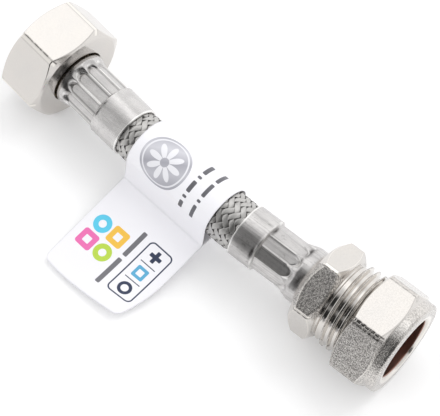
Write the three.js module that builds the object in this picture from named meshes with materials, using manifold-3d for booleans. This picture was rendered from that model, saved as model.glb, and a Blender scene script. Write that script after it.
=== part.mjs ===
// A short braided flexible connector for plumbing. One end has a swivelling nut that screws onto a
// tap tail, the other end has a compression fitting that grips a 15 mm copper pipe.
// Units are millimetres, +Z is up, and +X runs along the compression end, away from the hose.
// The connector lies on a flat of each nut, as it would on a bench.
import * as THREE from 'three';
import { mergeVertices } from 'three/addons/utils/BufferGeometryUtils.js';
import Module from 'manifold-3d';

const wasm = await Module();
wasm.setup();

// Shared sizes
const clearance = 0.3;
const threadRadius = 10.478;
const threadPitch = 1.814;
const threadDepth = 1.16;
const nutThreadClearance = 0.32;
const nutThreadWall = 1.202;
const spannerSize = 2 * (threadRadius + nutThreadClearance + nutThreadWall);
const axisHeight = spannerSize / 2;
const roundSteps = 40;
const smallSteps = 24;

// Hose: a rubber tube inside a wire braid, straight except for two gentle bends beside the sleeves
const hoseFreeLength = 34.9;
const hoseEndInSleeve = 17;
const braidRadius = 6.1;
const braidRelief = 0.26;
const braidWall = 0.32;
const braidStrands = 10;
const braidTurnLength = 33;
const braidSteps = 50;
const braidRowPitch = 0.5;
const tubeWall = 1.1;
const firstBend = { at: 3.2, length: 3.8, angle: 5 };
const lastBend = { beforeTap: 1.4, length: 1.9, angle: 2.8 };

// Crimped steel sleeves
const sleeveRadius = 6.55;
const sleeveWall = 0.45;
const sleeveShoulderRadius = 6.95;
const crimpFlats = 12;
const crimpFlatRadius = 5.75;
const crimpRidgeRadius = 6.2;
const crimpRidgeWidth = 1.1;
const sleeveSteps = 4 * crimpFlats;
const crimpStep = 0.35;
const sleeveFlare = 2.1;
const sleeveNose = 1.5;
const sleeveNoseRadius = 5.75;
const tapSleeveSizes = { length: 20.5, band: 8.3, crimp: 8.5 };
const compressionSleeveSizes = { length: 19.8, band: 6.4, crimp: 8.5 };

// Brass stems inside the hose
const stemRadius = 3.3;
const stemBarb = 0.3;
const stemBarbPitch = 2.7;
const stemBarbCount = 4;
const stemStart = 1.5;
const stemNeckRadius = 4.7;
const waterRadius = 2.6;

// Tap nut, with the tail and washer that it draws against the tap
const tapNutLength = 12.5;
const tapNutOverlap = 0.4;
const tapNutWall = 2.2;
const tapNutHoleRadius = 7.1;
const tapNutBoreRadius = 9.35;
const tapNutChamfer = { faceRadius: 11.4, slope: 0.6 };
const boreLead = 1;
const flangeRadius = 8.9;
const flangeThickness = 2;
const flangeNeckRadius = 5.9;
const washerThickness = 2;
const washerHoleRadius = 5;

// Compression body: hexagon, threaded spigot and pipe socket
const bodySpannerStep = 2.8;
const bodySpanner = spannerSize - bodySpannerStep;
const bodyCornerGap = 0.05;
const bodyCornerRadius = axisHeight - bodyCornerGap;
const bodySleeveChamfer = { faceRadius: 9.9, slope: 0.85 };
const bodyThreadChamfer = { faceRadius: 10.1, slope: 0.8 };
const bodyHexLength = 6.6;
const bodyHexTurn = 31.4;
const undercutLength = 0.5;
const undercutRadius = 9.1;
const spigotLength = 10.4;
const threadLead = 0.9;
const socketRadius = 7.62;
const pipeStopRadius = 6.4;
const pipeStopCone = 2.4;
const socketDepth = 11.6;
const seatSlope = 0.575;
const seatRadius = 8.8;

// Olive and compression nut
const oliveLength = 5.8;
const oliveEndRadius = 7.8;
const oliveCrestRadius = 8.75;
const oliveFlat = 1.4;
const oliveSeatGap = 0.35;
const nutHexLength = 9.3;
const nutCollarLength = 2.6;
const nutThreadChamfer = { faceRadius: 11.5, slope: 0.5 };
const nutCollarChamfer = { faceRadius: 11.7, slope: 0.7 };
const nutCollarDrop = 0.25;
const nutCollarRadius = axisHeight - nutCollarDrop;
const nutFrontWall = 2.8;
const nutShoulderRadius = 9.2;
const nutShoulderDepth = 2.2;
const nutMouthRadius = 7.75;
const nutMouthLead = 0.7;
const nutEdgeRound = 0.8;

// Film label: wrapped once around the braid, its two ends stuck together as a flag
const labelWidth = 25.1;
const labelFromFirstBend = 3.15;
const labelFilm = 0.35;
const labelGap = 0.3;
const flagReach = 33.8;
const flagPinch = 9.2;
const flagPinchHeight = -5.6;
const flagEndHeight = -10.5;
const flagLeaveAngle = 76;
const labelSlant = 0.65;
const labelSlantAngle = 110;
const flagEndSlant = 0.04;
const flagCornerCut = 3.2;
const flagSteps = 10;

const degrees = THREE.MathUtils.degToRad;

// Keeps only positions, joins equal corners and drops triangles that have collapsed on the axis
function closed(geometry) {
  geometry.deleteAttribute('normal');
  geometry.deleteAttribute('uv');
  const merged = mergeVertices(geometry, 1e-4);
  const corners = merged.index.array;
  const kept = [];
  for (let i = 0; i < corners.length; i += 3) {
    const [a, b, c] = [corners[i], corners[i + 1], corners[i + 2]];
    if (a !== b && b !== c && c !== a) kept.push(a, b, c);
  }
  merged.setIndex(kept);
  return merged;
}

function solid(geometry) {
  const merged = closed(geometry);
  const vertProperties = new Float32Array(merged.attributes.position.array);
  const triVerts = new Uint32Array(merged.index.array);
  return new wasm.Manifold(new wasm.Mesh({ numProp: 3, vertProperties, triVerts }));
}

function geometryOf(manifold) {
  const result = manifold.getMesh();
  const geometry = new THREE.BufferGeometry();
  geometry.setAttribute('position', new THREE.BufferAttribute(new Float32Array(result.vertProperties), 3));
  geometry.setIndex(new THREE.BufferAttribute(new Uint32Array(result.triVerts), 1));
  return geometry;
}

// Turns a profile of [station, radius] pairs about the X axis. The outside is listed with rising stations.
function turned(profile, steps = roundSteps) {
  const points = profile.map(([station, radius]) => new THREE.Vector2(radius, station));
  const geometry = new THREE.LatheGeometry(points, steps);
  geometry.rotateZ(-Math.PI / 2);
  return closed(geometry);
}

function ring(outside, inside, steps = roundSteps) {
  return turned([...outside, ...inside.slice().reverse(), outside[0]], steps);
}

// Moves each corner of a turned piece to radiusAt(station, angle, radius), angle from +Z towards -Y
function reshape(geometry, radiusAt) {
  const position = geometry.attributes.position;
  for (let i = 0; i < position.count; i += 1) {
    const [x, y, z] = [position.getX(i), position.getY(i), position.getZ(i)];
    const radius = Math.hypot(y, z);
    if (radius < 1e-6) continue;
    const factor = radiusAt(x, Math.atan2(-y, z), radius) / radius;
    position.setXYZ(i, x, y * factor, z * factor);
  }
  return geometry;
}

function steppedBetween(start, end, pitch) {
  const count = Math.max(1, Math.round((end - start) / pitch));
  return Array.from({ length: count + 1 }, (_, i) => start + (end - start) * i / count);
}

// Quarter of an ellipse from [x0, r0], level there, to [x1, r1], upright there
function quarterRound(x0, r0, x1, r1, steps = 3) {
  return Array.from({ length: steps + 1 }, (_, i) => {
    const a = Math.PI / 2 * i / steps;
    return [x0 + (x1 - x0) * Math.sin(a), r1 + (r0 - r1) * Math.cos(a)];
  });
}

// Hexagon along X with turned chamfers, resting on a flat when turn is 0
function hexPrism(start, length, spanner, firstChamfer, lastChamfer, turn = 0) {
  const cornerRadius = spanner / Math.sqrt(3);
  const outline = Array.from({ length: 6 }, (_, i) => {
    const a = degrees(60 * i + turn);
    return new THREE.Vector2(cornerRadius * Math.cos(a), cornerRadius * Math.sin(a));
  });
  const prism = new THREE.ExtrudeGeometry(new THREE.Shape(outline), { depth: length, bevelEnabled: false });
  prism.rotateY(Math.PI / 2);
  prism.rotateX(Math.PI / 2);
  prism.translate(start, 0, 0);
  const reach = cornerRadius + 1;
  const end = start + length;
  const envelope = turned([
    [start, 0],
    [start, firstChamfer.faceRadius],
    [start + (reach - firstChamfer.faceRadius) * firstChamfer.slope, reach],
    [end - (reach - lastChamfer.faceRadius) * lastChamfer.slope, reach],
    [end, lastChamfer.faceRadius],
    [end, 0],
  ], 2 * roundSteps);
  return solid(prism).intersect(solid(envelope));
}

// Place and heading of the hose axis, at a distance from the compression sleeve's mouth towards the tap
const lastBendAt = hoseFreeLength - lastBend.beforeTap;
const bends = [
  { at: firstBend.at, length: firstBend.length, angle: degrees(firstBend.angle) },
  { at: lastBendAt, length: lastBend.length, angle: degrees(lastBend.angle) },
];

function hoseAxis(distance) {
  const place = { x: 0, y: 0, heading: 0 };
  let done = Math.min(0, distance);
  place.x = -done;
  for (const bend of bends) {
    const start = bend.at - bend.length / 2;
    advance(place, Math.min(distance, start) - done);
    done = Math.max(done, Math.min(distance, start));
    if (distance <= start) return place;
    const along = Math.min(distance - start, bend.length);
    const turn = bend.angle * along / bend.length;
    const radius = bend.length / bend.angle;
    const chord = 2 * radius * Math.sin(turn / 2);
    place.heading += turn / 2;
    advance(place, chord);
    place.heading += turn / 2;
    done = start + along;
  }
  advance(place, distance - done);
  return place;
}

function advance(place, length) {
  if (length <= 0) return;
  place.x -= Math.cos(place.heading) * length;
  place.y += Math.sin(place.heading) * length;
}

// Carries a straight piece, whose X is the distance along the hose, onto the bent hose axis
function bendAlongHose(geometry) {
  const position = geometry.attributes.position;
  for (let i = 0; i < position.count; i += 1) {
    const [x, y, z] = [position.getX(i), position.getY(i), position.getZ(i)];
    const axis = hoseAxis(x);
    const [sine, cosine] = [Math.sin(axis.heading), Math.cos(axis.heading)];
    position.setXYZ(i, axis.x - y * sine, axis.y - y * cosine, z);
  }
  return geometry;
}

// Stations of the hose layers in the mouth, under the crimp and at the end inside each sleeve
function hoseStations(sleeve, fromMouth) {
  const sign = fromMouth < hoseFreeLength / 2 ? -1 : 1;
  const at = [clearance, sleeve.band - 2 * crimpStep, sleeve.band + crimpStep, hoseEndInSleeve];
  return at.map((depth) => fromMouth + sign * depth);
}

const sleeveMouthBore = sleeveRadius - sleeveWall;
const crimpBore = crimpFlatRadius - sleeveWall;
const braidBandRadius = sleeveMouthBore - clearance;
const braidCrimpRadius = crimpBore - clearance;

// Outer and inner radii of a hose layer along its length
function layerProfile(bandOuter, crimpOuter, freeOuter, walls) {
  const nearStations = hoseStations(compressionSleeveSizes, 0).reverse();
  const farStations = hoseStations(tapSleeveSizes, hoseFreeLength);
  const radii = [crimpOuter, crimpOuter, bandOuter, bandOuter];
  const near = nearStations.map((x, i) => [x, radii[i], walls[i]]);
  const far = farStations.map((x, i) => [x, radii[3 - i], walls[3 - i]]);
  const free = [[clearance, freeOuter, walls[4]], [hoseFreeLength - clearance, freeOuter, walls[4]]];
  return { near, free, far };
}

// Height of the braid's surface: two sets of strands wound opposite ways, crossing over and under
function braidHeight(distance, angle) {
  const turn = 2 * Math.PI * distance / braidTurnLength;
  const oneWay = braidStrands * (angle + turn);
  const otherWay = braidStrands * (angle - turn);
  const over = Math.cos(oneWay / 2) ** 2;
  const under = Math.cos(otherWay / 2) ** 2;
  return 1 - 2 * (1 - over) * (1 - under);
}

function braid() {
  const free = braidRadius;
  const { near, far } = layerProfile(braidBandRadius, braidCrimpRadius, free, [0, 0, 0, 0, 0]);
  const labelStart = firstBend.at + labelFromFirstBend;
  const labelEnd = labelStart + labelWidth;
  const exposed = [
    ...steppedBetween(clearance, labelStart, braidRowPitch),
    ...steppedBetween(labelStart, labelEnd, braidTurnLength / 8).slice(1, -1),
    ...steppedBetween(labelEnd, hoseFreeLength - clearance, braidRowPitch),
  ];
  const outside = [
    ...near.map(([x, r]) => [x, r]),
    ...exposed.map((x) => [x, free]),
    ...far.map(([x, r]) => [x, r]),
  ];
  const bore = tubeOuterRadius + clearance;
  const inside = [
    ...near.map(([x], i) => [x, i < 2 ? braidCrimpRadius - braidWall : bore]),
    ...bends.flatMap((bend) => [-1, 0, 1].map((side) => [bend.at + side * bend.length / 2, bore])),
    ...far.map(([x], i) => [x, i > 1 ? braidCrimpRadius - braidWall : bore]),
  ];
  const geometry = ring(outside, inside, braidSteps);
  const coversTube = bore + braidWall;
  reshape(geometry, (x, angle, radius) => {
    const open = x > clearance / 2 && x < hoseFreeLength - clearance / 2;
    return open && radius > coversTube ? radius + braidRelief * braidHeight(x, angle) : radius;
  });
  return bendAlongHose(geometry);
}

const tubeOuterRadius = braidBandRadius - braidWall - clearance;
const tubeCrimpRadius = braidCrimpRadius - braidWall - clearance;

function innerTube() {
  const walls = [0, 0, 0, 0, 0];
  const { near, free, far } = layerProfile(tubeOuterRadius, tubeCrimpRadius, tubeOuterRadius, walls);
  const middle = bends.flatMap((bend) => [-1, 0, 1].map((side) => bend.at + side * bend.length / 2));
  const crimped = stemRadius + clearance;
  const open = tubeOuterRadius - tubeWall;
  const outside = [
    ...near.map(([x, r]) => [x, r]),
    ...middle.map((x) => [x, tubeOuterRadius]),
    ...far.map(([x, r]) => [x, r]),
  ];
  const inside = [
    ...near.map(([x], i) => [x, i < 2 ? crimped : open]),
    ...middle.map((x) => [x, open]),
    ...far.map(([x], i) => [x, i > 1 ? crimped : open]),
  ];
  return bendAlongHose(ring(outside, inside, smallSteps));
}

// Crimped sleeve with its mouth at station 0: plain band, pressed flats, rounded nose
function crimpSleeve({ length, band, crimp }) {
  const crimpEnd = band + crimp;
  const flareEnd = crimpEnd + sleeveFlare;
  const noseStart = length - sleeveNose;
  const crimpRadius = (crimpFlatRadius + crimpRidgeRadius) / 2;
  const outside = [
    [0, sleeveRadius - sleeveWall / 2],
    [sleeveWall / 2, sleeveRadius],
    [band, sleeveRadius],
    [band + crimpStep, crimpRadius],
    [crimpEnd, crimpRadius],
    [crimpEnd + sleeveFlare / 3, crimpRadius + (sleeveShoulderRadius - crimpRadius) / 3],
    [flareEnd, sleeveShoulderRadius],
    ...quarterRound(noseStart, sleeveShoulderRadius, length, sleeveNoseRadius),
  ];
  const inside = [
    [0, sleeveMouthBore],
    [band - crimpStep, sleeveMouthBore],
    [band + crimpStep, crimpBore],
    [crimpEnd + sleeveWall, crimpBore],
    [flareEnd + sleeveWall / 2, sleeveShoulderRadius - sleeveWall],
    [noseStart + sleeveWall / 2, sleeveShoulderRadius - sleeveWall],
    [length - 1.5 * sleeveWall, stemNeckRadius + clearance],
    [length, stemNeckRadius + clearance],
  ];
  const geometry = ring(outside, inside, sleeveSteps);
  return reshape(geometry, (x, angle, radius) => {
    const pressed = x > band + crimpStep / 2 && x < crimpEnd + sleeveWall / 2;
    return pressed && radius > crimpBore + sleeveWall / 2 ? crimpedRadius(angle) : radius;
  });
}

// Radius round the crimp: flat jaw marks between narrow ridges, one of which is uppermost
function crimpedRadius(angle) {
  const share = 2 * Math.PI / crimpFlats;
  const fromRidge = Math.abs(angle / share - Math.round(angle / share)) * share;
  const flat = crimpFlatRadius / Math.cos(share / 2 - fromRidge);
  const rise = Math.max(0, 1 - 2 * fromRidge * crimpRidgeRadius / crimpRidgeWidth);
  return flat + (crimpRidgeRadius - flat) * rise;
}

// Profile of the barbed stem, from its tip towards the fitting
function stemOutside() {
  const points = [[stemStart, stemRadius - stemBarb]];
  for (let i = 0; i < stemBarbCount; i += 1) {
    const foot = stemStart + stemBarbPitch * (i + 1);
    points.push([foot, stemRadius], [foot + stemBarb / 2, stemRadius - stemBarb]);
  }
  return points;
}

// Tap tail: barbed stem, neck through the nut's hole and a flange that the nut pulls on
const tapNutStart = tapSleeveSizes.length - tapNutOverlap;
const flangeStart = tapNutStart + tapNutWall + clearance;
const washerStart = flangeStart + flangeThickness + clearance;

function tapTail() {
  const neckStart = hoseEndInSleeve + clearance;
  const sleeveEnd = tapSleeveSizes.length + clearance;
  const outside = [
    ...stemOutside(),
    [neckStart, stemRadius - stemBarb],
    [neckStart, stemNeckRadius],
    [sleeveEnd, stemNeckRadius],
    [sleeveEnd, flangeNeckRadius],
    [flangeStart, flangeNeckRadius],
    [flangeStart, flangeRadius],
    [flangeStart + flangeThickness, flangeRadius],
  ];
  const inside = [[stemStart, waterRadius], [flangeStart + flangeThickness, waterRadius]];
  return ring(outside, inside, smallSteps);
}

function tapWasher() {
  const end = washerStart + washerThickness;
  return ring(
    [[washerStart, flangeRadius], [end, flangeRadius]],
    [[washerStart, washerHoleRadius], [end, washerHoleRadius]],
    smallSteps,
  );
}

function tapNut() {
  const end = tapNutStart + tapNutLength;
  const hexagon = hexPrism(tapNutStart, tapNutLength, spannerSize, tapNutChamfer, tapNutChamfer);
  const bore = turned([
    [tapNutStart - 1, 0],
    [tapNutStart - 1, tapNutHoleRadius],
    [tapNutStart + tapNutWall, tapNutHoleRadius],
    [tapNutStart + tapNutWall, tapNutBoreRadius],
    [end - boreLead, tapNutBoreRadius],
    [end + 1, tapNutBoreRadius + boreLead + 1],
    [end + 1, 0],
  ]);
  return geometryOf(hexagon.subtract(solid(bore)));
}

// Compression body stations
const hexStart = compressionSleeveSizes.length + clearance;
const hexEnd = hexStart + bodyHexLength;
const threadStart = hexEnd + undercutLength;
const spigotEnd = threadStart + spigotLength;
const pipeStop = spigotEnd - socketDepth;
const seatStart = spigotEnd - (seatRadius - socketRadius) / seatSlope;

// The olive stands just off its cone in the body, and the nut's shoulder just off the olive
const oliveStart = seatStart + (oliveEndRadius - socketRadius + oliveSeatGap) / seatSlope;
const oliveEnd = oliveStart + oliveLength;
const nutShoulder = oliveEnd + oliveSeatGap;
const nutEnd = nutShoulder + nutFrontWall;
const nutStart = nutEnd - nutHexLength - nutCollarLength;

// Thread height from 0 at the root to 1 at the crest, along a right-handed helix about +X
function threadHeight(station, angle) {
  const turns = (station - threadStart) / threadPitch - angle / (2 * Math.PI);
  const phase = Math.abs(turns - Math.round(turns)) * 2;
  const height = THREE.MathUtils.clamp(1.25 - 1.5 * phase, 0, 1);
  const fadeIn = THREE.MathUtils.clamp((station - threadStart) / threadLead, 0, 1);
  const fadeOut = THREE.MathUtils.clamp((spigotEnd - station) / threadLead, 0, 1);
  return height * Math.min(fadeIn, fadeOut);
}

function compressionBody() {
  const neckStart = hoseEndInSleeve + clearance;
  const rootRadius = threadRadius - threadDepth;
  const rows = steppedBetween(threadStart, spigotEnd, threadPitch / 4);
  const shape = reshape(turned([
    [stemStart, 0],
    ...stemOutside(),
    [neckStart, stemRadius - stemBarb],
    [neckStart, stemNeckRadius],
    [hexStart, stemNeckRadius],
    [hexStart, undercutRadius],
    [hexEnd + undercutLength / 2, undercutRadius],
    ...rows.map((x) => [x, rootRadius]),
    [spigotEnd, 0],
  ]), (x, angle, radius) => {
    const threaded = radius > rootRadius - 1e-3 && x > threadStart - 1e-3;
    return threaded ? rootRadius + threadDepth * threadHeight(x, angle) : radius;
  });
  const corners = solid(turned([
    [hexStart - 1, 0],
    [hexStart - 1, bodyCornerRadius],
    [hexEnd + 1, bodyCornerRadius],
    [hexEnd + 1, 0],
  ], 2 * roundSteps));
  const chamfers = [bodySleeveChamfer, bodyThreadChamfer];
  const hexagon = hexPrism(hexStart, bodyHexLength, bodySpanner, ...chamfers, bodyHexTurn);
  const bore = turned([
    [stemStart - 1, 0],
    [stemStart - 1, waterRadius],
    [pipeStop - pipeStopCone, waterRadius],
    [pipeStop, pipeStopRadius],
    [pipeStop, socketRadius],
    [seatStart, socketRadius],
    [spigotEnd + 1, seatRadius + seatSlope],
    [spigotEnd + 1, 0],
  ]);
  return geometryOf(solid(shape).add(hexagon.intersect(corners)).subtract(solid(bore)));
}

function olive() {
  const slant = (oliveLength - oliveFlat) / 2;
  const outside = [
    [oliveStart, oliveEndRadius],
    [oliveStart + slant, oliveCrestRadius],
    [oliveEnd - slant, oliveCrestRadius],
    [oliveEnd, oliveEndRadius],
  ];
  return ring(outside, [[oliveStart, socketRadius], [oliveEnd, socketRadius]]);
}

function compressionNut() {
  const hexagon = hexPrism(nutStart, nutHexLength, spannerSize, nutThreadChamfer, nutCollarChamfer);
  const collar = solid(turned([
    [nutStart + nutHexLength / 2, 0],
    [nutStart + nutHexLength / 2, nutCollarRadius],
    ...quarterRound(nutEnd - nutEdgeRound, nutCollarRadius, nutEnd, nutCollarRadius - nutEdgeRound),
    [nutEnd, 0],
  ]));
  const boreRadius = threadRadius + nutThreadClearance;
  const bore = turned([
    [nutStart - 1, 0],
    [nutStart - 1, boreRadius],
    [nutShoulder - nutShoulderDepth, boreRadius],
    [nutShoulder - nutShoulderDepth, nutShoulderRadius],
    [nutShoulder, nutShoulderRadius],
    [nutShoulder, nutMouthRadius],
    [nutEnd - nutMouthLead, nutMouthRadius],
    [nutEnd + 1, nutMouthRadius + nutMouthLead + 1],
    [nutEnd + 1, 0],
  ]);
  return geometryOf(hexagon.add(collar).subtract(solid(bore)));
}

// Centre line of the flag, measured from the hose axis: down from the wrap, then out almost level
const labelBore = braidRadius + braidRelief + labelGap;
const labelRadius = labelBore + labelFilm;

function flagHeight(reach) {
  const share = (reach - flagPinch) / (flagReach - flagPinch);
  return flagPinchHeight + (flagEndHeight - flagPinchHeight) * Math.sin(share * Math.PI / 2);
}

function labelOutline() {
  const leave = degrees(flagLeaveAngle);
  const across = (angle, radius) => new THREE.Vector2(radius * Math.sin(angle), radius * Math.cos(angle));
  const top = across(leave, labelRadius);
  const pinchTop = new THREE.Vector2(flagPinch, flagPinchHeight + labelFilm);
  const down = new THREE.QuadraticBezierCurve(top, new THREE.Vector2(top.x + 1, flagPinchHeight + 3), pinchTop);
  const reaches = steppedBetween(flagPinch, flagReach, (flagReach - flagPinch) / flagSteps);
  const outline = new THREE.Shape();
  outline.moveTo(0, -labelRadius);
  for (let i = 1; i <= 20; i += 1) {
    const point = across(Math.PI + (leave + Math.PI) * i / 20, labelRadius);
    outline.lineTo(point.x, point.y);
  }
  down.getPoints(4).slice(1).forEach((point) => outline.lineTo(point.x, point.y));
  reaches.slice(1).forEach((reach) => outline.lineTo(reach, flagHeight(reach) + labelFilm));
  reaches.reverse().forEach((reach) => outline.lineTo(reach, flagHeight(reach) - labelFilm));
  const hole = new THREE.Path();
  const inner = across(leave, labelBore);
  hole.moveTo(0, -labelBore);
  hole.lineTo(flagPinch - 2 * labelFilm - labelGap, flagPinchHeight + labelFilm / 4);
  hole.lineTo(inner.x + 2 * labelGap, (inner.y + flagPinchHeight) / 2);
  for (let i = 0; i < 20; i += 1) {
    const point = across(leave - (leave + Math.PI) * i / 20, labelBore);
    hole.lineTo(point.x, point.y);
  }
  outline.holes.push(hole);
  return outline;
}

// The label's own X runs along the hose from the first bend, and its Y is the side the flag lies on
function label() {
  const width = labelWidth;
  const geometry = new THREE.ExtrudeGeometry(labelOutline(), { depth: width, bevelEnabled: false, steps: 1 });
  const position = geometry.attributes.position;
  for (let i = 0; i < position.count; i += 1) {
    const [side, height, along] = [position.getX(i), position.getY(i), position.getZ(i)];
    const reach = Math.max(0, side - flagPinch) / (flagReach - flagPinch);
    const shorter = flagEndSlant * (1 - along / width) * reach * flagReach;
    const cut = along < width / 2 ? flagCornerCut * reach ** 6 : 0;
    const slant = labelSlant * (1 + Math.cos(Math.atan2(side, height) - degrees(labelSlantAngle))) / 2;
    position.setXYZ(i, labelFromFirstBend + along + cut - slant, side - shorter, height);
  }
  return closed(geometry);
}

function part(name, geometry, color, metalness, roughness) {
  const material = new THREE.MeshStandardMaterial({ color, metalness, roughness });
  const mesh = new THREE.Mesh(geometry, material);
  mesh.name = name;
  return mesh;
}

const nickel = ['#cfcac2', 1, 0.22];
const brass = ['#c9a96a', 1, 0.35];
const steel = ['#c4c3c1', 1, 0.28];

const compressionEnd = new THREE.Group();
compressionEnd.add(
  part('compression_sleeve', crimpSleeve(compressionSleeveSizes), ...steel),
  part('compression_body', compressionBody(), ...nickel),
  part('olive', olive(), '#8a4f35', 1, 0.45),
  part('compression_nut', compressionNut(), ...nickel),
);

const hose = new THREE.Group();
const bend = hoseAxis(firstBend.at + firstBend.length / 2);
const labelGroup = new THREE.Group();
labelGroup.position.set(bend.x + Math.cos(bend.heading) * firstBend.length / 2,
  bend.y - Math.sin(bend.heading) * firstBend.length / 2, 0);
labelGroup.rotation.z = Math.PI - bend.heading;
labelGroup.add(part('label', label(), '#f4f3fa', 0, 0.35));
hose.add(
  part('braid', braid(), '#a9a8a6', 1, 0.35),
  part('inner_tube', innerTube(), '#2b2b2d', 0, 0.7),
  labelGroup,
);

const tapEnd = new THREE.Group();
const tapMouth = hoseAxis(hoseFreeLength);
tapEnd.position.set(tapMouth.x, tapMouth.y, 0);
tapEnd.rotation.z = Math.PI - tapMouth.heading;
tapEnd.add(
  part('tap_sleeve', crimpSleeve(tapSleeveSizes), ...steel),
  part('tap_tail', tapTail(), ...brass),
  part('tap_washer', tapWasher(), '#5d6a5e', 0, 0.8),
  part('tap_nut', tapNut(), ...nickel),
);

// The origin is under the middle of the connector, on the surface that it lies on
const connector = new THREE.Group();
connector.add(compressionEnd, hose, tapEnd);
connector.updateMatrixWorld(true);
const box = new THREE.Box3().setFromObject(connector, true);
const middle = box.getCenter(new THREE.Vector3());
connector.position.set(-middle.x, -middle.y, axisHeight);

export default connector;
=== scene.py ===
# %% [markdown]
# # A flexible tap connector
#
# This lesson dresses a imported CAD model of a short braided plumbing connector. The CAD model says
# where each piece is and how it moves. Here every piece gets a finer surface, worked out with numpy
# as whole arrays, and a finish made of shader nodes.

# %% Load the fixed frame
import math
from math import radians

import bpy
import numpy as np
from mathutils import Matrix


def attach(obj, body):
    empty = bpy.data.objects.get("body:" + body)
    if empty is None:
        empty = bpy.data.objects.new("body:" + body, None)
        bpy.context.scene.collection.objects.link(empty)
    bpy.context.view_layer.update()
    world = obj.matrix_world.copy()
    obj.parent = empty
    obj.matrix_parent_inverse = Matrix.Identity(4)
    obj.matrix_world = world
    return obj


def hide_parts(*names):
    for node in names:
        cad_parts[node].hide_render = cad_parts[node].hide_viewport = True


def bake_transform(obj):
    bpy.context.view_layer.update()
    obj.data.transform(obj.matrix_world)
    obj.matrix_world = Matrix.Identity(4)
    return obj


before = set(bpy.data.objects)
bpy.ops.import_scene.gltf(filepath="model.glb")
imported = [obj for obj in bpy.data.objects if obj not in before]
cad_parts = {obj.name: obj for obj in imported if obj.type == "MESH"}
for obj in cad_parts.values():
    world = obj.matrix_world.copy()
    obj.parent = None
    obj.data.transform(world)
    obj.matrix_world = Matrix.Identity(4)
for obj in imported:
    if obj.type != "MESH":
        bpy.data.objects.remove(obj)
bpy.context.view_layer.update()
MM = 0.001

# %% [markdown]
# ## Places
#
# The connector has three straight parts that meet at two gentle bends of the hose. Each one has its
# own origin on the hose's axis, an axis, and a side at right angles to it. A turned piece is then
# easy to write down: a station along the axis, a radius and an angle from straight up.

# %% The straight parts' own frames
UP = np.array([0.0, 0.0, 1.0])


class Place:
    """An origin in mm, an axis and the sideways direction, which is the axis crossed with up."""

    def __init__(self, origin, axis):
        self.origin = np.array(origin, float)
        self.axis = np.array(axis, float) / np.linalg.norm(axis)
        self.side = np.cross(self.axis, UP)

    def around(self, station, radius, angle):
        """origin + station * axis + radius * (cos(angle) * up + sin(angle) * side)"""
        station, radius, angle = np.broadcast_arrays(station, radius, angle)
        across = np.cos(angle)[..., None] * UP + np.sin(angle)[..., None] * self.side
        return self.origin + station[..., None] * self.axis + radius[..., None] * across


compression_end = Place((11.600, 5.522, 12.0), (1, 0, 0))
hose_middle = Place((8.398, 5.522, 12.0), (-0.99619, 0.08716, 0))
tap_end = Place((-23.174, 8.353, 12.0), (-0.99075, 0.13572, 0))

# %% [markdown]
# ## Surfaces from grids
#
# Every piece is a grid of points: the rows follow its profile and the columns go round it. Where a
# profile is closed, its last row joins the first one, so the piece has an inside and an outside
# and no open edge. A closed band that has ends gets a row of quads across each end.

# %% Turn a grid of points into a mesh
def grid_quads(rows, columns, rows_join):
    """Corner numbers of the quads between neighbouring points; the columns always join up."""
    number = np.arange(rows * columns).reshape(rows, columns)
    number = np.hstack([number, number[:, :1]])
    if rows_join:
        number = np.vstack([number, number[:1]])
    corners = [number[:-1, :-1], number[:-1, 1:], number[1:, 1:], number[1:, :-1]]
    return np.stack(corners, axis=-1).reshape(-1, 4)


def end_quads(rows, columns):
    """Quads across both ends of a flat tube, whose columns run out on one side and back on the other."""
    half = columns // 2
    first = np.arange(half)
    back = columns - 1 - first
    start = np.stack([first[1:], first[:-1], back[:-1], back[1:]], axis=-1)
    last = (rows - 1) * columns
    return np.vstack([start, start[:, ::-1] + last])


def placed(name, data):
    """A new object of the scene, at the origin."""
    made = bpy.data.objects.new(name, data)
    bpy.context.scene.collection.objects.link(made)
    return made


def mesh_object(name, points, quads, values=None, uv=None, smooth=True):
    """A mesh from an array of points in mm and an array of quads, with optional values per point."""
    mesh = bpy.data.meshes.new(name)
    flat = np.ascontiguousarray(points.reshape(-1, 3) * MM, np.float32)
    mesh.vertices.add(len(flat))
    mesh.vertices.foreach_set("co", flat.ravel())
    mesh.loops.add(quads.size)
    mesh.loops.foreach_set("vertex_index", quads.ravel().astype(np.int32))
    mesh.polygons.add(len(quads))
    mesh.polygons.foreach_set("loop_start", np.arange(0, quads.size, 4, dtype=np.int32))
    mesh.polygons.foreach_set("use_smooth", np.full(len(quads), smooth))
    mesh.update(calc_edges=True)
    for label, value in (values or {}).items():
        layer = mesh.attributes.new(label, "FLOAT", "POINT")
        layer.data.foreach_set("value", np.broadcast_to(value, points.shape[:-1]).ravel().astype(np.float32))
    if uv is not None:
        layer = mesh.uv_layers.new(name="UVMap")
        layer.data.foreach_set("uv", uv.reshape(-1, 2)[quads.ravel()].astype(np.float32).ravel())
    mesh.validate()
    print(f"{name}: {len(mesh.vertices)} points, {2 * len(quads)} triangles")
    return placed(name, mesh)


def dressed(piece, material, body, slot, *nodes):
    """Gives a piece its finish, and lets it ride on a body in place of CAD nodes; its slot is not used."""
    piece.data.materials.append(material)
    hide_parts(*nodes)
    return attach(piece, body) if body else piece


def grid_piece(name, place, station, shape, angle, values, *dress):
    """A dressed piece whose radius is given for each station and angle, with some values stored."""
    points = place.around(station, shape, angle)
    return dressed(mesh_object(name, points, grid_quads(*shape.shape, True), values), *dress)


# %% [markdown]
# ## Profiles
#
# Real edges are never perfectly sharp: a corner that is rounded by a tenth of a millimetre catches a
# line of light. So each profile is given by its corners, and a helper rounds them. Long steps are
# then filled with more points wherever the shape between them will change.

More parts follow.
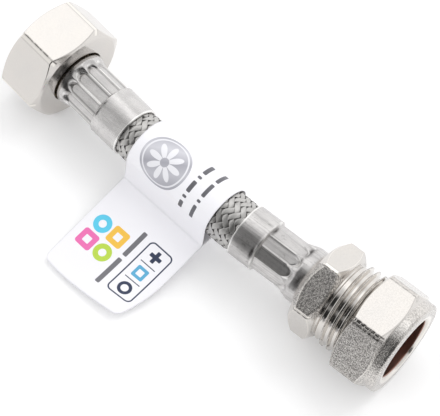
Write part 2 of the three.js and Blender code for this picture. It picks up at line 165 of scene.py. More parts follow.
# %% Round the corners of a profile and fill its long steps
def softened(corners, radius=0.12, steps=3):
    """Each corner c between a and b becomes (1-t)^2 a' + 2t(1-t) c + t^2 b', with a' and b' near c."""
    corners = np.array(corners, float)
    before = np.roll(corners, 1, axis=0) - corners
    after = np.roll(corners, -1, axis=0) - corners
    lengths = [np.linalg.norm(v, axis=1, keepdims=True) for v in (before, after)]
    a, b = (corners + v / r * np.minimum(radius, 0.4 * r) for v, r in zip((before, after), lengths))
    t = np.linspace(0, 1, steps + 1)[None, :, None]
    rounded = (1 - t) ** 2 * a[:, None] + 2 * t * (1 - t) * corners[:, None] + t**2 * b[:, None]
    return rounded.reshape(-1, 2)


def filled(profile, spacing):
    """Adds evenly spaced points along each step of a closed profile that is longer than the spacing."""
    following = np.roll(profile, -1, axis=0)
    length = np.linalg.norm(following - profile, axis=1)
    counts = np.maximum(1, np.ceil(length / spacing).astype(int))
    start = np.repeat(np.arange(len(profile)), counts)
    first = np.repeat(np.cumsum(counts) - counts, counts)
    share = ((np.arange(counts.sum()) - first) / counts[start])[:, None]
    return profile[start] * (1 - share) + following[start] * share


def near(value, width):
    """exp(-(value / width)^2): 1 at 0, and almost 0 beyond twice the width."""
    return np.exp(-((value / width) ** 2))


def soft_min(a, b, width):
    """The smaller of two heights, blended over a width, and how near the two are, from 0 to 1."""
    gap = np.abs(a - b)
    return np.minimum(a, b) - width * np.log1p(np.exp(-gap / width)), near(gap, 2 * width)


def turned_piece(name, place, profile, columns, spacing, radius, *dress):
    """A closed profile of stations and radii carried round the axis."""
    rows = filled(softened(profile, radius), spacing)
    angle = np.linspace(0, 2 * math.pi, columns, endpoint=False)[None, :]
    shape = np.repeat(rows[:, 1:], columns, axis=1)
    return grid_piece(name, place, rows[:, :1], shape, angle, None, *dress)


# %% [markdown]
# ## Shader maths in Python
#
# A finish is mostly arithmetic on numbers that change over the surface. One small class wraps a
# socket, so that ordinary operators add the Math nodes, and one method makes any other node.

# %% A class that turns expressions into nodes
class Number:
    """A socket of a material. Arithmetic on it adds Math nodes and gives the result's socket."""

    def __init__(self, shader, socket):
        self.shader, self.socket = shader, socket

    def maths(self, operation, *others):
        values = dict(enumerate((self, *others)))
        return self.shader.node("ShaderNodeMath", {"operation": operation}, values)

    def __add__(self, other):
        return self.maths("ADD", other)

    def __sub__(self, other):
        return self.maths("SUBTRACT", other)

    def __rsub__(self, other):
        return self.shader.node("ShaderNodeMath", {"operation": "SUBTRACT"}, {0: other, 1: self})

    def __mul__(self, other):
        return self.maths("MULTIPLY", other)

    def __truediv__(self, other):
        return self.maths("DIVIDE", other)

    def __pow__(self, other):
        return self.maths("POWER", other)

    def __abs__(self):
        return self.maths("ABSOLUTE")

    __radd__, __rmul__ = __add__, __mul__

    def between(self, low, high):
        """0 below low, 1 above high and a smooth step from one to the other."""
        values = {"Value": self, "From Min": low, "From Max": high}
        return self.shader.node("ShaderNodeMapRange", {"interpolation_type": "SMOOTHSTEP"}, values)

    def smaller(self, other):
        return self.maths("MINIMUM", other)

    def larger(self, other):
        return self.maths("MAXIMUM", other)


class Shader:
    """The node tree of a material or of the world."""

    def __init__(self, owner):
        owner.use_nodes = True
        self.owner, self.tree = owner, owner.node_tree
        self.tree.nodes.clear()

    def node(self, kind, settings=None, inputs=None, output=0):
        """A node of this kind, its settings first, then its inputs as numbers or links."""
        made = self.tree.nodes.new(kind)
        for key, value in (settings or {}).items():
            if key == "stops":
                ramp = made.color_ramp
                while len(ramp.elements) < len(value):
                    ramp.elements.new(0.5)
                for element, (position, colour) in zip(ramp.elements, value):
                    element.position, element.color = position, (*colour, 1)
            else:
                setattr(made, key, value)
        for key, value in (inputs or {}).items():
            if isinstance(value, Number):
                self.tree.links.new(value.socket, made.inputs[key])
            elif isinstance(value, tuple) and len(value) == 3 and made.inputs[key].type == "RGBA":
                made.inputs[key].default_value = (*value, 1)
            else:
                made.inputs[key].default_value = value
        return Number(self, made.outputs[output]) if made.outputs else None

    def place(self):
        """Object coordinates, which are the shared frame's metres because every piece sits at the origin."""
        return self.node("ShaderNodeTexCoord", output="Object")

    def parts(self, vector):
        """The three numbers of a vector."""
        made = self.node("ShaderNodeSeparateXYZ", {}, {0: vector})
        return [Number(self, made.socket.node.outputs[i]) for i in range(3)]

    def stretched(self, scale, turn=0.0):
        """Object coordinates turned about up, then multiplied, for marks that run along a piece."""
        values = {"Vector": self.place(), "Rotation": (0, 0, turn), "Scale": scale}
        return self.node("ShaderNodeMapping", {}, values)

    def noise(self, scale, detail=2.0, roughness=0.5, vector=None, distortion=0.0):
        values = {"Vector": vector or self.place(), "Scale": scale, "Detail": detail,
                  "Roughness": roughness, "Distortion": distortion}
        return self.node("ShaderNodeTexNoise", {}, values)

    def value(self, name):
        """A number that was stored on the mesh for each point."""
        return self.node("ShaderNodeAttribute", {"attribute_name": name}, output="Fac")

    def mix(self, share, first, second):
        """The first colour where share is 0 and the second where it is 1."""
        made = self.tree.nodes.new("ShaderNodeMix")
        made.data_type = "RGBA"
        for index, value in ((0, share), (6, first), (7, second)):
            if isinstance(value, Number):
                self.tree.links.new(value.socket, made.inputs[index])
            else:
                made.inputs[index].default_value = (*value, 1) if isinstance(value, tuple) else value
        return Number(self, made.outputs[2])

    def bump(self, height, distance):
        """A normal from a height, whose steps from 0 to 1 stand this many metres high."""
        return self.node("ShaderNodeBump", {}, {"Height": height, "Distance": distance})

    def ray(self, kind):
        """1 where the ray is of this kind and 0 elsewhere."""
        return self.node("ShaderNodeLightPath", output=f"Is {kind} Ray")

    def finish(self, colour, roughness, normal, others):
        """Joins the Principled surface with these inputs to the output, and gives the material."""
        inputs = {"Base Color": colour, "Roughness": roughness, "Normal": normal, **others}
        surface = self.node("ShaderNodeBsdfPrincipled", {}, inputs)
        self.node("ShaderNodeOutputMaterial", {}, {"Surface": surface})
        return self.owner

    def metal(self, colour, roughness, normal):
        return self.finish(colour, roughness, normal, {"Metallic": 1.0})


def new_finish(name):
    return Shader(bpy.data.materials.new(name))


# %% [markdown]
# ## Nickel plate
#
# Both nuts and the fitting's body are brass under a thin coat of nickel. The swivelling nut is smooth.
# The other two are blasted before plating, which leaves fine grains, painted as dark pits of painted
# shade and bright sparks of painted glint. Their broken edges get a painted highlight. The mesh stores
# four numbers for each point: how near a painted highlight is, how near a painted dark line is, which
# stands for a dark reflection, how strong the grain is, which is also set flat by flat as painted shade,
# and where the brass inside is bare.

# %% Smooth and blasted nickel
GRAIN_SCALE, GRAIN_DEPTH = 2800, 0.00004
WARM_NICKEL, COOL_NICKEL = (0.715, 0.68, 0.64), (0.66, 0.64, 0.62)
# Painted light: shade in the pits, glints, highlights on edges and dark lines of reflection; bare brass is
# real.
PAINTED_PIT_SHADE, PAINTED_GLINT = (0.20, 0.19, 0.185), (0.95, 0.93, 0.90)
PAINTED_EDGE_HIGHLIGHT, PAINTED_DARK_LINE, BARE_BRASS = (0.92, 0.885, 0.83), (0.035, 0.03, 0.028), (0.34, 0.19, 0.15)


def nickel_finish(name, grain, roughness):
    """Painted shade in pits and painted glints where the grain is strong, painted edge highlights and broken
    painted dark reflections.
    """
    s = new_finish(name)
    edge, line, cover, bare = (s.value(label) for label in ("edge", "line", "grain", "bare"))
    cloud = s.noise(140, 3, 0.6)
    speck = s.noise(GRAIN_SCALE, 3, 0.65)
    fine = s.noise(GRAIN_SCALE * 2.3, 2, 0.7)
    blasted = cover * grain * (1 - edge)
    colour = s.mix(cloud, WARM_NICKEL, COOL_NICKEL)
    # Painted shade in the pits of the grain.
    colour = s.mix((1 - speck.between(0.40, 0.54)) * blasted * 0.7, colour, PAINTED_PIT_SHADE)
    # Painted glints on the grain.
    colour = s.mix(speck.between(0.54, 0.66) * blasted * 0.6, colour, PAINTED_GLINT)
    # Painted highlight along the edges.
    colour = s.mix(edge * 0.8, colour, PAINTED_EDGE_HIGHLIGHT)
    broken = s.noise(1100, 3, 0.6).between(0.40, 0.56)
    # Painted dark reflections: broken dark lines along the arrises and on the thread's crest.
    colour = s.mix(line * (0.25 + broken * 0.75), colour, PAINTED_DARK_LINE)
    colour = s.mix(bare, colour, BARE_BRASS)
    rough = roughness + cloud * 0.06 + blasted * 0.12 + line * 0.3 + bare * 0.2
    height = (speck + fine * 0.4) * blasted * 2.6 + s.noise(420, 2) * 0.35
    return s.metal(colour, rough, s.bump(height, GRAIN_DEPTH))


smooth_nickel = nickel_finish("nickel_smooth", 0.05, 0.13)
blasted_nickel = nickel_finish("nickel_blasted", 1.0, 0.10)

# %% [markdown]
# ## Plain brass, copper, rubber and fibre
#
# The tail inside the swivelling nut is turned brass, whose tool leaves rings. Its colour is kept far
# darker than brass as painted shade for the gap between the sleeve and the nut's hole. The olive is a
# soft copper ring with a brownish film. The tube and the washer are dull and dark.

# %% Turned brass and copper
def turned_metal(name, light, dark, roughness):
    """Two tones in clouds, over rings that follow the long axis."""
    s = new_finish(name)
    rings = s.noise(60, 2, 0.5, s.stretched((60, 2, 2)))
    cloud = s.noise(260, 3, 0.6)
    colour = s.mix(cloud, light, dark)
    return s.metal(colour, roughness + cloud * 0.15, s.bump(rings + cloud * 0.3, 0.00002))


# Painted shade: this brass is far darker than brass, for the gap between the sleeve and the nut's hole.
turned_brass = turned_metal("turned_brass", (0.26, 0.21, 0.14), (0.17, 0.13, 0.08), 0.3)
brown_copper = turned_metal("brown_copper", (0.50, 0.24, 0.17), (0.34, 0.15, 0.11), 0.34)


# %% Rubber and fibre
def dull_finish(name, light, dark, scale, roughness):
    """Two tones in a mottle of this scale, with a fleck six times finer in relief."""
    s = new_finish(name)
    mottle = s.noise(scale, 4, 0.65)
    fleck = s.noise(scale * 6, 2, 0.6)
    colour = s.mix(mottle.between(0.35, 0.65), light, dark)
    return s.finish(colour, roughness + mottle * 0.2, s.bump(fleck + mottle * 0.5, 0.00003), {})


tube_rubber = dull_finish("tube_rubber", (0.022, 0.022, 0.024), (0.012, 0.012, 0.013), 500, 0.55)
washer_fibre = dull_finish("washer_fibre", (0.10, 0.13, 0.11), (0.05, 0.07, 0.06), 900, 0.7)

# %% [markdown]
# ## Crimped steel
#
# A press squeezes the sleeve onto the hose. Stainless steel keeps fine lines along the way it was
# drawn, and the jaws leave scuffs. Dull, dark patches are painted shade and painted dark reflections,
# and bright edges and ridges are painted highlights. Lines come from noise that is stretched along the
# sleeve, so its direction has to be given in the finish. The sleeve at the tap is cleaner than the
# other one, so the marks have a strength.

# %% Drawn stainless steel
# The brightest steel colour is a painted highlight and the darkest is painted shade; the other tones, drawn
# lines and scuffs are the steel's own.
LIGHT_STEEL, DULL_STEEL, PAINTED_STEEL_HIGHLIGHT = (0.68, 0.665, 0.655), (0.59, 0.575, 0.57), (0.95, 0.94, 0.92)
DRAWN_LINE, SCUFF, PAINTED_SHADE_STEEL = (0.33, 0.325, 0.32), (0.22, 0.21, 0.205), (0.075, 0.07, 0.068)


def sleeve_finish(name, place, darker, roughness):
    """Lines along a place's axis, scuffs, the mesh's painted shade and its painted highlights."""
    s = new_finish(name)
    turn = math.atan2(place.axis[1], place.axis[0])
    lines = s.noise(1.0, 3, 0.6, s.stretched((130, 2600, 2600), -turn))
    cloud = s.noise(330, 4, 0.62)
    scuff = s.noise(900, 5, 0.7, distortion=1.5)
    edge = s.value("edge")
    smudge = s.value("smudge")
    colour = s.mix(cloud.between(0.3, 0.75), LIGHT_STEEL, DULL_STEEL)
    colour = s.mix(lines.between(0.48, 0.66) * 0.45 * darker, colour, DRAWN_LINE)
    colour = s.mix(scuff.between(0.54, 0.72) * 0.5 * darker, colour, SCUFF)
    # Painted shade in the valleys and painted dark reflections on the sleeve.
    colour = s.mix((smudge * (0.55 + scuff * 0.8)).smaller(1.0), colour, PAINTED_SHADE_STEEL)
    # Painted highlights on edges, ridges and arches.
    colour = s.mix(edge * 0.85, colour, PAINTED_STEEL_HIGHLIGHT)
    rough = roughness + cloud * 0.10 + lines * 0.06 + smudge * 0.15
    return s.metal(colour, rough, s.bump(lines * 0.6 + scuff * 0.25 * darker + cloud * 0.3, 0.00003))


tap_sleeve_steel = sleeve_finish("sleeve_steel_bright", tap_end, 0.35, 0.19)
compression_sleeve_steel = sleeve_finish("sleeve_steel_scuffed", compression_end, 1.0, 0.23)

# %% [markdown]
# ## The braid's wire
#
# Each strand is a flat bundle of thin wires. The mesh stores how deep a point lies between its
# wires and under its neighbours, and the finish turns that into painted shade in the gaps.

# %% Wire steel
def wire_finish():
    s = new_finish("braid_wire")
    crest = s.value("crest")
    cloud = s.noise(500, 3, 0.6)
    gap, wire, dull = (0.045, 0.04, 0.038), (0.62, 0.61, 0.595), (0.36, 0.35, 0.34)
    # Painted shade: dark in the gaps between wires and where a strand dips under its neighbours.
    colour = s.mix(crest.between(0.05, 0.75), gap, wire)
    colour = s.mix(cloud.between(0.45, 0.75) * 0.35, colour, dull)
    return s.metal(colour, 0.34 + cloud * 0.12, s.bump(s.noise(2400, 2) * crest, 0.00002))


wire_steel = wire_finish()

# %% [markdown]
# ## The swivelling tap nut
#
# A hexagon nut starts as a hexagonal bar, and a lathe cuts a cone off each end, which leaves the
# curved line on every flat. As a surface this is the smaller of two radii: that of the turned
# profile, and that of the hexagon at the same angle. The arrises are broken by a narrow third face.

# %% The hexagon's radius
def hexagon_radius(angle, spanner, turn, bevel, width=0.05):
    """The smaller of half / cos(angle to the nearest flat) and corner / cos(angle to the nearest corner)."""
    sixth = math.pi / 3
    offset = (angle - turn + sixth / 2) % sixth - sixth / 2
    flat = spanner / 2 / np.cos(offset)
    corner = (spanner / math.sqrt(3) - bevel) / np.cos(sixth / 2 - np.abs(offset))
    return soft_min(flat, corner, width)[0]


def hexagon_angles(per_side, turn=0.0, crowding=0.75):
    """Angles round a hexagon that crowd together near its six corners."""
    t = np.linspace(-1, 1, per_side, endpoint=False)
    within = math.pi / 6 * ((1 - crowding) * t + crowding * np.sin(t * math.pi / 2))
    return (turn + np.arange(6)[:, None] * math.pi / 3 + within[None, :]).ravel()


def chamfered(start, end, first, last, reach):
    """Corners of the turned envelope of a hexagon: up one cone, along outside the corners, down the other.

    First and last are each a radius at the face and how far the cone runs along for each mm up.
    """
    return [
        (start, first[0]),
        (start + (reach - first[0]) * first[1], reach),
        (end - (reach - last[0]) * last[1], reach),
        (end, last[0]),
    ]


def arris_marks(angle, turn, bevel, sides=(1, -1)):
    """Near 1 on the chosen borders of a broken arris, and near 1 on the strip between them."""
    sixth = math.pi / 3
    offset = (angle - turn) % sixth - sixth / 2
    border = bevel * math.sqrt(3) / NUT_REACH
    line = sum(near(offset - side * border, 0.012) for side in sides)
    return line, np.exp(-((offset / border) ** 6))


def by_side(angle, turn, values):
    """One of six values, for the flat nearest to the angle."""
    nearest = np.round((angle - turn) / (math.pi / 3)).astype(int) % 6
    return np.array(values)[nearest]


# %% The thread's height
THREAD_RADIUS, THREAD_PITCH, THREAD_DEPTH = 10.478, 1.814, 1.16
THREAD_ROOT = THREAD_RADIUS - THREAD_DEPTH


def thread_phase(station, angle):
    """Share of half a turn to the nearest crest, for turns = station / pitch - angle / 360, right-handed."""
    turns = station / THREAD_PITCH - angle / (2 * math.pi)
    return np.abs(turns - np.round(turns)) * 2


def thread_height(station, angle):
    """1 on the crest and almost 0 between two crests."""
    return near(thread_phase(station, angle), 0.34)


def crest_marks(station, angle):
    """Near 1 on the thread's crest line, and near 1 on the two lines beside it."""
    phase = thread_phase(station, angle)
    return near(phase, 0.09), near(phase - 0.24, 0.09)


def fade(value, low, high):
    """0 below low and 1 above high, with a smooth step between."""
    t = np.clip((value - low) / (high - low), 0, 1)
    return t * t * (3 - 2 * t)


# %% Build the tap nut
SPANNER = 24.0
NUT_REACH = SPANNER / math.sqrt(3) + 0.2
CORNER = math.pi / 6
TAP_START, TAP_LENGTH, TAP_WALL, TAP_HOLE, TAP_BORE = 20.1, 12.5, 2.2, 7.1, 9.35
TAP_CHAMFER, TAP_BEVEL, INNER_THREAD = (11.4, 0.6), 0.30, 0.9


def build_tap_nut():
    start, end = TAP_START, TAP_START + TAP_LENGTH
    inner = start + TAP_WALL
    root = TAP_BORE + 0.95
    envelope = chamfered(start, end, TAP_CHAMFER, TAP_CHAMFER, NUT_REACH)
    corners = [(start, TAP_HOLE)] + envelope + [
        (end, root + 0.15), (end - 1.0, TAP_BORE), (inner + 1.6, TAP_BORE),
        (inner + 1.3, root), (inner, root), (inner, TAP_HOLE)]
    rows = filled(softened(corners, 0.1), 0.16)
    angle = hexagon_angles(48)[None, :]
    station, radius = rows[:, :1], rows[:, 1:]
    six = hexagon_radius(angle, SPANNER, 0.0, TAP_BEVEL)
    shape, rim = soft_min(radius, six, 0.04)
    outside = radius > 11.0
    shape = np.where(outside, shape, radius)
    bore = (radius < TAP_BORE + 0.02) & (station > inner + 1.55)
    cut = thread_height(station, angle) * fade(station, inner + 1.5, inner + 2.6)
    shape = np.where(bore, TAP_BORE + INNER_THREAD * (1 - cut), shape)
    # Painted light on the arrises: a painted dark reflection along one border, strongest at one corner, and a
    # painted highlight on the rim and the strip.
    line, strip = arris_marks(angle, 0.0, TAP_BEVEL, (1,))
    line = line * by_side(angle, CORNER, (0.3, 0.3, 0.3, 0.3, 0.3, 0.9))
    on_side = outside & (radius > 12.4)
    values = {
        "edge": np.where(outside, np.maximum(rim * 0.6, strip * on_side), 0),
        "line": np.where(on_side, line, 0),
        "grain": np.where(outside, 1.0, 0.2), "bare": 0.0}
    return grid_piece("tap_nut_plated", tap_end, station, shape, angle, values,
                      smooth_nickel, "tap_nut", "nickel_plate", "tap_nut")


build_tap_nut()

# %% [markdown]
# ## The tail and washer inside the nut
#
# The tail carries the water through the nut and has the flange that the nut pulls on. Its washer
# seals against the tap. Both are turned, so a profile and a circle are enough.

# %% Build the tail and the washer
def barbs(start, count, pitch, radius, depth):
    """Corners of a barbed stem: it rises slowly to each barb and drops behind it."""
    feet = start + pitch * (np.arange(count) + 1)
    pairs = np.stack([feet, np.full(count, radius), feet + depth / 2, np.full(count, radius - depth)], axis=1)
    return [(start, radius - depth)] + [tuple(p) for p in pairs.reshape(-1, 2)]


STEM, WATER = barbs(1.5, 4, 2.7, 3.3, 0.3), 2.6
tail_profile = STEM + [
    (17.3, 3.0), (17.3, 4.7), (20.8, 4.7), (20.8, 5.9), (22.6, 5.9), (22.6, 8.9), (24.6, 8.9),
    (24.6, WATER), (1.5, WATER)]
turned_piece("tap_tail_turned", tap_end, tail_profile, 96, 3.0, 0.12,
             turned_brass, "tap_end", "brass_tail", "tap_tail")

washer_profile = [(24.9, 8.9), (26.9, 8.9), (26.9, 5.0), (24.9, 5.0)]
turned_piece("tap_washer_disc", tap_end, washer_profile, 128, 0.5, 0.25,
             washer_fibre, "tap_end", "washer_fibre", "tap_washer")

# %% [markdown]
# ## The crimped sleeves
#
# The press has twelve jaws. Each leaves a flat that runs along the sleeve and ends in an arch where
# the sleeve swells again, and a thin ridge stays between two flats. So the radius is that of the
# flat, or of the ridge where the flat would be higher, and the far end of each flat is an arch.

# %% The sleeve's radius
SLEEVE, SHOULDER, FLAT, RIDGE, JAWS = 6.55, 6.95, 5.72, 6.20, 12
SWOLLEN, SLEEVE_WALL, SLEEVE_NOSE, NOSE_RADIUS, BRAID_BORE = 6.12, 0.45, 1.5, 5.75, 6.1


def crimped_radius(station, angle, band, crimp, sharp):
    """Band radius, then flat / cos(offset) with a ridge at each edge, then the shoulder beyond an arch.

    Also given are painted highlights on the arches, ridges and lip, and painted shade in the valleys.
    How sharp the ridges stand, from 0 to 1, differs between the two sleeves.
    """
    share = 2 * math.pi / JAWS
    offset = angle % share - share / 2
    across = np.abs(offset) / (share / 2)
    flat = FLAT / np.cos(offset)
    ridge = near(1 - across, 0.17)
    pressed = flat + (RIDGE - flat) * ridge * sharp
    arch = band + crimp + 0.75 - 1.9 * across**2.4
    swell = fade(station, arch - 0.1, arch + 0.6)
    rise = fade(station, arch + 0.1, band + crimp + 2.1)
    shoulder = pressed + (SWOLLEN - pressed) * swell
    shoulder = shoulder + (SHOULDER - shoulder) * rise
    dent = 0.14 * near(station - arch + 0.15, 0.25) * (1 - across**2)
    step = fade(station, band - 0.12, band + 0.32)
    lip = (0.05 + 0.03 * np.cos(JAWS * (angle - share / 2))) * near(station - band + 0.2, 0.25)
    radius = SLEEVE + lip + (shoulder - dent - SLEEVE - lip) * step
    # Painted highlights: a line beyond each arch, the ridges, and beads on the lip.
    arch_line = near(station - arch - 0.45, 0.2) * (1 - across**3)
    ridge_line = near(1 - across, 0.10) * (step > 0.5) * (station < arch + 0.2)
    bead = near(station - band + 0.05, 0.22) * (1 - across**1.5)
    # Painted shade in the valleys beside the ridges and just past the band.
    valley = near(1 - across - 0.30, 0.09) * (step > 0.5) * (station < arch)
    valley = np.maximum(valley, 0.9 * near(station - band - 0.25, 0.13))
    # All painted highlights together.
    painted_bright_marks = np.maximum(np.maximum(arch_line, ridge_line * sharp), bead * (1.2 - sharp))
    return radius, painted_bright_marks, valley * sharp


# %% Build both sleeves
def spot(station, angle, at, where, long, wide):
    """Near 1 at a station and an angle, whose difference is taken the short way round."""
    turned = np.mod(angle - where + math.pi, 2 * math.pi) - math.pi
    return near(station - at, long) * near(turned, wide)


def build_sleeve(name, place, sizes, material, body, node, painted_shade_patches):
    """Sizes are its length, the band's length, the crimp's length and how sharp the ridges are.

    A patch of painted shade and painted dark reflection is its station, angle, half length, half width and
    strength.
    """
    length, band, crimp, sharp = sizes
    nose = length - SLEEVE_NOSE
    count = int(nose / 0.12)
    bend = np.linspace(0, math.pi / 2, 9)[1:]
    outside = np.vstack([
        np.column_stack([np.full(3, 0.0), np.linspace(6.12, SLEEVE - 0.12, 3)]),
        np.column_stack([np.linspace(0.1, nose, count), np.full(count, SLEEVE)]),
        np.column_stack([nose + SLEEVE_NOSE * np.sin(bend),
                         NOSE_RADIUS + (SHOULDER - NOSE_RADIUS) * np.cos(bend)]),
    ])
    bore = [(length, 5.0), (length - 0.7, 5.0), (nose + 0.2, SHOULDER - SLEEVE_WALL),
            (band + crimp + 2.4, SHOULDER - SLEEVE_WALL), (band + crimp + 0.4, FLAT - SLEEVE_WALL),
            (band + 0.35, FLAT - SLEEVE_WALL), (band - 0.35, BRAID_BORE), (0.0, BRAID_BORE)]
    rows = np.vstack([outside, np.array(bore)])
    columns = 32 * JAWS
    angle = np.linspace(0, 2 * math.pi, columns, endpoint=False)[None, :]
    station, radius = rows[:, :1], np.repeat(rows[:, 1:], columns, axis=1)
    shape, mark, valley = crimped_radius(station, angle, band, crimp, sharp)
    worked = (np.arange(len(rows)) < len(outside))[:, None] & (station >= 0.1) & (station <= nose)
    shape = np.where(worked, shape, radius)
    # Painted highlights, with the back end face below station 0.35 painted bright as well.
    edge = np.where(worked, mark, 0) + np.where((station < 0.35) & (radius > 6.2), 1.0, 0)
    # Painted shade: the valleys, plus listed patches of painted shade and painted dark reflection.
    smudge = valley * 0.55 + sum(
        strength * spot(station, angle, at, radians(where), long, wide)
        for at, where, long, wide, strength in painted_shade_patches)
    values = {"edge": np.clip(edge, 0, 1), "smudge": np.clip(np.where(worked, smudge, 0), 0, 1)}
    return grid_piece(name, place, station, shape, angle, values, material, body, "sleeve_steel", node)


# Each sleeve's last list places its patches of painted shade and painted dark reflection.
build_sleeve(
    "tap_sleeve_crimped", tap_end, (20.5, 8.3, 8.5, 1.0), tap_sleeve_steel, "tap_end", "tap_sleeve",
    [(18.2, -47, 0.6, 0.22, 1.0), (17.4, -62, 0.5, 0.12, 0.9), (17.6, 14, 0.35, 0.12, 0.9),
     (19.4, -25, 0.3, 0.6, 0.5)])
build_sleeve(
    "compression_sleeve_crimped", compression_end, (19.8, 6.4, 8.5, 0.20), compression_sleeve_steel,
    "compression_end", "compression_sleeve",
    [(18.3, 42, 0.8, 0.30, 1.0), (16.3, -20, 0.55, 0.30, 1.0), (5.7, 55, 0.45, 0.26, 1.0),
     (6.9, -17, 0.4, 0.24, 1.0), (16.0, 8, 0.25, 0.12, 0.7), (3.4, 52, 2.2, 0.40, 0.45),
     (10.5, 48, 4.5, 0.30, 0.35)])

# %% [markdown]
# ## The hose's centre line
#
# The hose leaves each sleeve in line with it and bends gently just outside. The heading is a sum of
# two ramps, and the centre line is the running sum of small steps along that heading.

# %% Points and headings along the hose
HOSE_FREE, AXIS_HEIGHT = 34.9, 12.0
bends = [(3.2, 3.8, radians(5.0)), (HOSE_FREE - 1.4, 1.9, radians(2.8))]
fine_steps = np.linspace(-8, HOSE_FREE + 8, 5001)
middles = (fine_steps[1:] + fine_steps[:-1]) / 2


def heading(distance):
    """Sum over the bends of angle * clip((distance - its middle) / its length + 0.5, 0, 1)."""
    return sum(angle * np.clip((distance - at) / length + 0.5, 0, 1) for at, length, angle in bends)


run = np.cumsum(np.column_stack([-np.cos(heading(middles)), np.sin(heading(middles))]), axis=0)
run = np.vstack([[0, 0], run * (fine_steps[1] - fine_steps[0])])
run -= [np.interp(0, fine_steps, run[:, k]) for k in (0, 1)]


def on_hose(distance, radius, angle):
    """Centre line + radius * (cos(angle) * up + sin(angle) * side), with side square to the heading."""
    distance, radius, angle = np.broadcast_arrays(distance, radius, angle)
    turn = heading(distance)
    x = compression_end.origin[0] + np.interp(distance, fine_steps, run[:, 0])
    y = compression_end.origin[1] + np.interp(distance, fine_steps, run[:, 1])
    side = radius * np.sin(angle)
    z = AXIS_HEIGHT + radius * np.cos(angle)
    return np.stack([x - side * np.sin(turn), y - side * np.cos(turn), z], axis=-1)


print("Tap sleeve's mouth:", on_hose(np.array([HOSE_FREE]), 0.0, 0.0).round(3))

# %% [markdown]
# ## The braid
#
# Eighteen flat strands wind one way and eighteen the other, each over two and under two. A strand
# is a ribbon whose top has five wires side by side, and it rises and falls along a softened square
# wave. The hose bends at two joints, so the braid is made in two halves that each cross one joint.

# %% One set of strands as an array
STRANDS, TURN_LENGTH, BRAID_RADIUS = 18, 33.0, 6.03
WEAVE, WIRE_COUNT, STRAND_HALF = 0.095, 5, 0.488


def braid_base(distance):
    """The radius under the strands: smaller inside the sleeves than in the open."""
    open_part = fade(distance, 0.3, 1.5) * (1 - fade(distance, HOSE_FREE - 1.5, HOSE_FREE - 0.3))
    return BRAID_RADIUS - 0.32 * (1 - open_part)


def ribbons(start, end, way, steps):
    """Rows run along each strand, columns round its section: across the wires and back underneath.

    Lift is tanh(2.8 sin(quarter turns)) for one quarter turn at each crossing, turned over for the other
    way, and the radius is the base plus the weave's height times the lift plus the section's height.
    """
    distance = np.linspace(start, end, steps)[:, None]
    across = np.linspace(-1, 1, 2 * WIRE_COUNT + 1)
    crest = np.abs(np.sin((across + 1) * WIRE_COUNT * math.pi / 2))
    top = 0.06 + 0.025 * crest - 0.02 * across**6
    section = np.concatenate([across, across[::-WIRE_COUNT]])[None, :]
    height = np.concatenate([top, np.full(3, -0.07)])[None, :]
    # Painted shade on the strand's edges and between its wires, kept as a value per point.
    shine = np.concatenate([(0.45 + 0.55 * crest) * (1 - 0.92 * across**8), np.zeros(3)])[None, :]
    turns = distance / TURN_LENGTH
    made = []
    for strand in range(STRANDS):
        angle = way * 2 * math.pi * turns + 2 * math.pi * (strand + 0.5) / STRANDS
        crossing = STRANDS * (angle + way * 2 * math.pi * turns) / (2 * math.pi)
        wave = np.sin(2 * math.pi * (crossing + strand) / 4)
        lift = way * np.tanh(2.8 * wave) / math.tanh(2.8)
        place = angle + section * STRAND_HALF * 2 * math.pi / STRANDS
        radius = braid_base(distance) + WEAVE * lift + height
        # Painted shade where the strand dips under the crossing strands.
        shade = shine * (0.45 + 0.55 * fade(lift, -0.95, 0.3))
        made.append((on_hose(distance, radius, place), shade))
    return made


def build_braid_half(name, start, end):
    steps = int((end - start) / 0.16)
    made = [ribbon for way in (1, -1) for ribbon in ribbons(start, end, way, steps)]
    columns = made[0][0].shape[1]
    forward = np.vstack([grid_quads(steps, columns, False), end_quads(steps, columns)])
    quads = np.vstack([forward + k * steps * columns for k in range(len(made))])
    points = np.vstack([points.reshape(-1, 3) for points, _ in made])
    crest = np.concatenate([shade.ravel() for _, shade in made])
    piece = mesh_object(name, points, quads[:, ::-1], {"crest": crest})
    return dressed(piece, wire_steel, None, "braid_steel", "braid")


HALF_WAY = HOSE_FREE / 2
NEAR_BEND = [tuple(on_hose(np.array(d), 0.0, 0.0) * MM) for d in (0.2, 6.2)]
FAR_BEND = [tuple(on_hose(np.array(d), 0.0, 0.0) * MM) for d in (HOSE_FREE - 2.8, HOSE_FREE)]
braid_near = build_braid_half("braid_compression_half", -3.0, HALF_WAY)
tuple(NEAR_BEND[0])
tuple(NEAR_BEND[1])
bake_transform(braid_near)
braid_far = build_braid_half("braid_tap_half", HALF_WAY, HOSE_FREE + 3.0)
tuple(FAR_BEND[0])
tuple(FAR_BEND[1])
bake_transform(braid_far)


# %% [markdown]
# ## The rubber tube
#
# Only a dark glimpse of the tube shows between the strands. It is a plain tube in two halves, as
# the braid is, with its ends deep inside the sleeves.

# %% Build the tube's halves
def build_tube_half(name, start, end):
    rows = np.linspace(start, end, 90)[:, None]
    columns = 64
    angle = np.linspace(0, 2 * math.pi, columns, endpoint=False)[None, :]
    squeezed = 1 - fade(np.minimum(rows, HOSE_FREE - rows), -6.6, -5.2)
    outer, inner = 5.15 - 0.75 * squeezed, 4.05 - 0.40 * squeezed
    outside, inside = on_hose(rows, outer, angle), on_hose(rows, inner, angle)
    points = np.vstack([outside, inside[::-1]])
    piece = mesh_object(name, points, grid_quads(2 * len(rows), columns, True)[:, ::-1])
    return dressed(piece, tube_rubber, None, "tube_rubber", "inner_tube")


